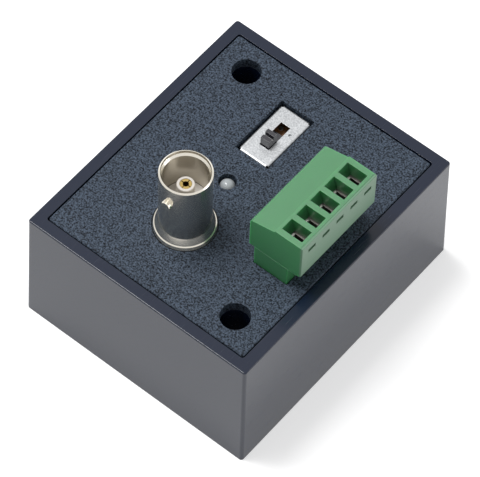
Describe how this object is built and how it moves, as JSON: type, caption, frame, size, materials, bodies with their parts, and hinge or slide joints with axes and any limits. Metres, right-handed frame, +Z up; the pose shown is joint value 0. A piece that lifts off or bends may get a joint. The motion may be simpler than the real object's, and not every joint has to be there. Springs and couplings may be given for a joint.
{
  "type": "cctv video balun",
  "caption": "Small cased adapter between a bayonet coaxial jack and twisted-pair wires in a pluggable screw terminal, with a slide switch and a status lamp.",
  "frame": {"origin": "the middle of the case's underside", "axes": "+Z up out of the lid, +Y along the case from the jack towards the slide switch, +X across it towards the terminal"},
  "size_m": [0.05, 0.0586, 0.0432],
  "materials": {
    "case_plastic": "dark grey, smooth moulded sides",
    "lid_plastic": "dark grey with a fine sparked grain",
    "nickel": "nickel plated, bright with turning marks",
    "white_insulator": "white, slightly waxy",
    "gilt_contact": "gilt, satin",
    "lamp_epoxy": "milky clear, polished",
    "tinned_sheet": "tinned, mottled satin",
    "slider_plastic": "black, slightly polished by use",
    "brown_laminate": "brown paper laminate",
    "terminal_green": "green, fine satin",
    "terminal_cover_green": "paler green, satin",
    "tinned_copper": "tinned, dull",
    "zinc_steel": "zinc plated, satin",
    "board_laminate": "green solder mask",
    "ferrite": "dark grey, ground",
    "bobbin_plastic": "black",
    "enamelled_copper": "enamelled wire, glossy",
    "chip_epoxy": "black, matt",
    "capacitor_sleeve": "dark sleeve",
    "arrester_ceramic": "glazed ceramic with metal caps",
    "chip_ceramic": "fired ceramic with plated ends"
  },
  "bodies": {
    "adapter": {"case": "case_plastic", "lid": "lid_plastic", "lid_screws": "zinc_steel", "circuit_board": "board_laminate", "board_screws": "zinc_steel", "jack_shell": "nickel", "jack_insulator": "white_insulator", "jack_centre_contact": "gilt_contact", "lamp_lens": "lamp_epoxy", "lamp_leads": "tinned_copper", "switch_cover": "tinned_sheet", "switch_base": "brown_laminate", "switch_terminals": "tinned_copper", "header_housing": "terminal_green", "header_pins": "tinned_copper", "balun_core_front": "ferrite", "balun_core_back": "ferrite", "balun_bobbin": "bobbin_plastic", "balun_pins": "tinned_copper", "balun_primary": "enamelled_copper", "balun_secondary": "enamelled_copper", "surge_arrester": "arrester_ceramic", "amplifier_chip": "chip_epoxy", "amplifier_legs": "tinned_copper", "filter_capacitor_1": "capacitor_sleeve", "filter_capacitor_2": "capacitor_sleeve", "chip_resistor_1": "chip_ceramic", "chip_resistor_2": "chip_ceramic", "chip_resistor_3": "chip_ceramic", "chip_resistor_4": "chip_ceramic", "chip_capacitor_1": "chip_ceramic", "chip_capacitor_2": "chip_ceramic", "chip_capacitor_3": "chip_ceramic"},
    "slider": {"switch_slider": "slider_plastic", "switch_bridge_left": "tinned_copper", "switch_bridge_right": "tinned_copper"},
    "plug": {"plug_housing": "terminal_green", "plug_cover": "terminal_cover_green", "plug_contact_1": "tinned_copper", "plug_contact_2": "tinned_copper", "plug_contact_3": "tinned_copper", "plug_contact_4": "tinned_copper", "plug_contact_5": "tinned_copper"},
    "screw_1": {"clamp_screw_1": "zinc_steel"},
    "sleeve_1": {"clamp_sleeve_1": "zinc_steel"},
    "screw_2": {"clamp_screw_2": "zinc_steel"},
    "sleeve_2": {"clamp_sleeve_2": "zinc_steel"},
    "screw_3": {"clamp_screw_3": "zinc_steel"},
    "sleeve_3": {"clamp_sleeve_3": "zinc_steel"},
    "screw_4": {"clamp_screw_4": "zinc_steel"},
    "sleeve_4": {"clamp_sleeve_4": "zinc_steel"},
    "screw_5": {"clamp_screw_5": "zinc_steel"},
    "sleeve_5": {"clamp_sleeve_5": "zinc_steel"}
  },
  "joints": [
    {"name": "switch_slide", "type": "slide", "parent": "adapter", "child": "slider", "axis": [0, 1, 0], "range_m": [0, 0.0036]},
    {"name": "plug_pull", "type": "slide", "parent": "adapter", "child": "plug", "axis": [0, 0, 1], "range_m": [0, 0.012]},
    {"name": "screw_1_turn", "type": "hinge", "parent": "plug", "child": "screw_1", "pos_m": [0.0125, -0.00743, 0.0355], "axis": [1, 0, 0], "range_deg": [0, 1710]},
    {"name": "sleeve_1_draw", "type": "slide", "parent": "plug", "child": "sleeve_1", "axis": [-1, 0, 0], "range_m": [0, 0.0019]},
    {"name": "screw_2_turn", "type": "hinge", "parent": "plug", "child": "screw_2", "pos_m": [0.0125, -0.00362, 0.0355], "axis": [1, 0, 0], "range_deg": [0, 1710]},
    {"name": "sleeve_2_draw", "type": "slide", "parent": "plug", "child": "sleeve_2", "axis": [-1, 0, 0], "range_m": [0, 0.0019]},
    {"name": "screw_3_turn", "type": "hinge", "parent": "plug", "child": "screw_3", "pos_m": [0.0125, 0.00019, 0.0355], "axis": [1, 0, 0], "range_deg": [0, 1710]},
    {"name": "sleeve_3_draw", "type": "slide", "parent": "plug", "child": "sleeve_3", "axis": [-1, 0, 0], "range_m": [0, 0.0019]},
    {"name": "screw_4_turn", "type": "hinge", "parent": "plug", "child": "screw_4", "pos_m": [0.0125, 0.004, 0.0355], "axis": [1, 0, 0], "range_deg": [0, 1710]},
    {"name": "sleeve_4_draw", "type": "slide", "parent": "plug", "child": "sleeve_4", "axis": [-1, 0, 0], "range_m": [0, 0.0019]},
    {"name": "screw_5_turn", "type": "hinge", "parent": "plug", "child": "screw_5", "pos_m": [0.0125, 0.00781, 0.0355], "axis": [1, 0, 0], "range_deg": [0, 1710]},
    {"name": "sleeve_5_draw", "type": "slide", "parent": "plug", "child": "sleeve_5", "axis": [-1, 0, 0], "range_m": [0, 0.0019]}
  ],
  "couplings": [
    {"joint": "screw_1_turn", "follows": "sleeve_1_draw", "rad_per_m": 15708},
    {"joint": "screw_2_turn", "follows": "sleeve_2_draw", "rad_per_m": 15708},
    {"joint": "screw_3_turn", "follows": "sleeve_3_draw", "rad_per_m": 15708},
    {"joint": "screw_4_turn", "follows": "sleeve_4_draw", "rad_per_m": 15708},
    {"joint": "screw_5_turn", "follows": "sleeve_5_draw", "rad_per_m": 15708}
  ]
}
